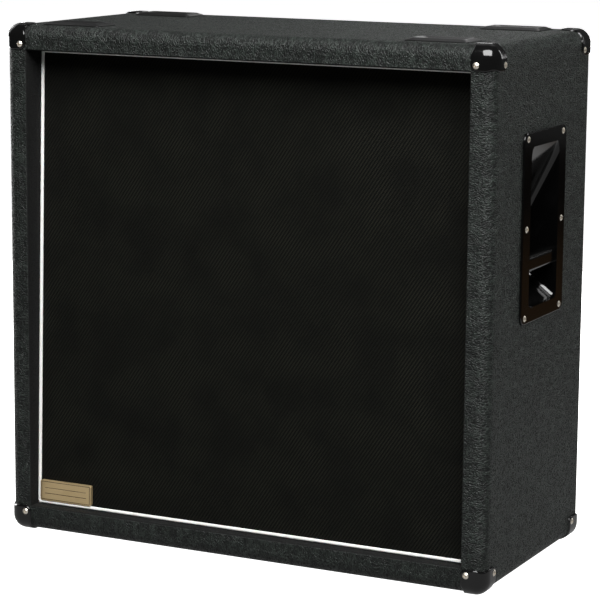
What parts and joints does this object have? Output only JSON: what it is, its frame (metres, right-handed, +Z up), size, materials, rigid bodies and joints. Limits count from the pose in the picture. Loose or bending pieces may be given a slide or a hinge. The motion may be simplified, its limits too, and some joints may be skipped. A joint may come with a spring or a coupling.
{
  "type": "guitar speaker cabinet",
  "caption": "Straight guitar speaker cabinet with a cloth grille, white piping, corner caps, recessed side handles, stacking dishes and speakers on sprung cones.",
  "frame": {"origin": "on the floor, under the middle of the cabinet", "axes": "+X to the right as seen from the front, +Y to the back, +Z up"},
  "size_m": [0.7804, 0.3764, 0.762],
  "materials": {
    "plywood": "bare birch plywood",
    "softwood": "bare softwood",
    "vinyl": "black vinyl with a coarse leather grain",
    "grille_cloth": "near-black twill",
    "piping": "white, satin",
    "gold_plate": "brushed gold",
    "cap_plastic": "black, glossy",
    "handle_plastic": "black, glossy",
    "dish_plastic": "dark grey, satin",
    "nickel": "nickel plated",
    "black_screw": "black oxide",
    "zinc_steel": "zinc plated",
    "basket_paint": "black, satin",
    "gasket_board": "dark pressed board",
    "ferrite": "dark, unglazed",
    "doped_cloth": "doped cloth",
    "cone_paper": "dark pressed paper",
    "copper": "copper wire on a bright former",
    "terminal_plastic": "black",
    "jack_plate_metal": "black, satin",
    "lead_rubber": "black"
  },
  "bodies": {
    "cabinet": {"back_panel": "plywood", "back_panel_covering": "vinyl", "baffle_board": "plywood", "bottom_panel": "plywood", "castor_sockets": "zinc_steel", "centre_post": "softwood", "corner_and_handle_screws": "nickel", "corner_cap_front_bottom_left": "cap_plastic", "corner_cap_front_bottom_right": "cap_plastic", "corner_cap_front_top_left": "cap_plastic", "corner_cap_front_top_right": "cap_plastic", "corner_cap_rear_bottom_left": "cap_plastic", "corner_cap_rear_bottom_right": "cap_plastic", "corner_cap_rear_top_left": "cap_plastic", "corner_cap_rear_top_right": "cap_plastic", "corner_plate": "gold_plate", "dish_and_jack_plate_screws": "black_screw", "front_battens": "softwood", "grille_cloth": "grille_cloth", "grille_piping": "piping", "handle_bucket_left": "handle_plastic", "handle_bucket_right": "handle_plastic", "handle_grip_left": "handle_plastic", "handle_grip_right": "handle_plastic", "jack_plate": "jack_plate_metal", "jack_sockets": "terminal_plastic", "left_side_panel": "plywood", "panel_screws": "black_screw", "rear_cleats": "softwood", "right_side_panel": "plywood", "speaker_baskets": "basket_paint", "speaker_gaskets": "gasket_board", "speaker_leads": "lead_rubber", "speaker_magnets": "ferrite", "speaker_screws": "black_screw", "speaker_spiders": "doped_cloth", "speaker_surrounds": "doped_cloth", "speaker_terminals": "terminal_plastic", "speaker_top_plates": "zinc_steel", "speaker_yokes": "zinc_steel", "stacking_dish_front_left": "dish_plastic", "stacking_dish_front_right": "dish_plastic", "stacking_dish_rear_left": "dish_plastic", "stacking_dish_rear_right": "dish_plastic", "switch_body": "zinc_steel", "top_panel": "plywood", "vinyl_covering": "vinyl"},
    "cone_set_top_left": {"cone_top_left": "cone_paper", "dust_cap_top_left": "cone_paper", "voice_coil_top_left": "copper"},
    "cone_set_top_right": {"cone_top_right": "cone_paper", "dust_cap_top_right": "cone_paper", "voice_coil_top_right": "copper"},
    "cone_set_bottom_left": {"cone_bottom_left": "cone_paper", "dust_cap_bottom_left": "cone_paper", "voice_coil_bottom_left": "copper"},
    "cone_set_bottom_right": {"cone_bottom_right": "cone_paper", "dust_cap_bottom_right": "cone_paper", "voice_coil_bottom_right": "copper"},
    "switch_slider": {"switch_slider": "terminal_plastic"}
  },
  "joints": [
    {"name": "cone_slide_top_left", "type": "slide", "parent": "cabinet", "child": "cone_set_top_left", "axis": [0, 0.9995, -0.0332], "range_m": [-0.003, 0.003], "stiffness_N_per_m": 7700, "deforming": ["speaker_surrounds", "speaker_spiders"]},
    {"name": "cone_slide_top_right", "type": "slide", "parent": "cabinet", "child": "cone_set_top_right", "axis": [0, 0.9995, -0.0332], "range_m": [-0.003, 0.003], "stiffness_N_per_m": 7700, "deforming": ["speaker_surrounds", "speaker_spiders"]},
    {"name": "cone_slide_bottom_left", "type": "slide", "parent": "cabinet", "child": "cone_set_bottom_left", "axis": [0, 0.9995, -0.0332], "range_m": [-0.003, 0.003], "stiffness_N_per_m": 7700, "deforming": ["speaker_surrounds", "speaker_spiders"]},
    {"name": "cone_slide_bottom_right", "type": "slide", "parent": "cabinet", "child": "cone_set_bottom_right", "axis": [0, 0.9995, -0.0332], "range_m": [-0.003, 0.003], "stiffness_N_per_m": 7700, "deforming": ["speaker_surrounds", "speaker_spiders"]},
    {"name": "switch_slide", "type": "slide", "parent": "cabinet", "child": "switch_slider", "axis": [1, 0, 0], "range_m": [0, 0.006]}
  ]
}
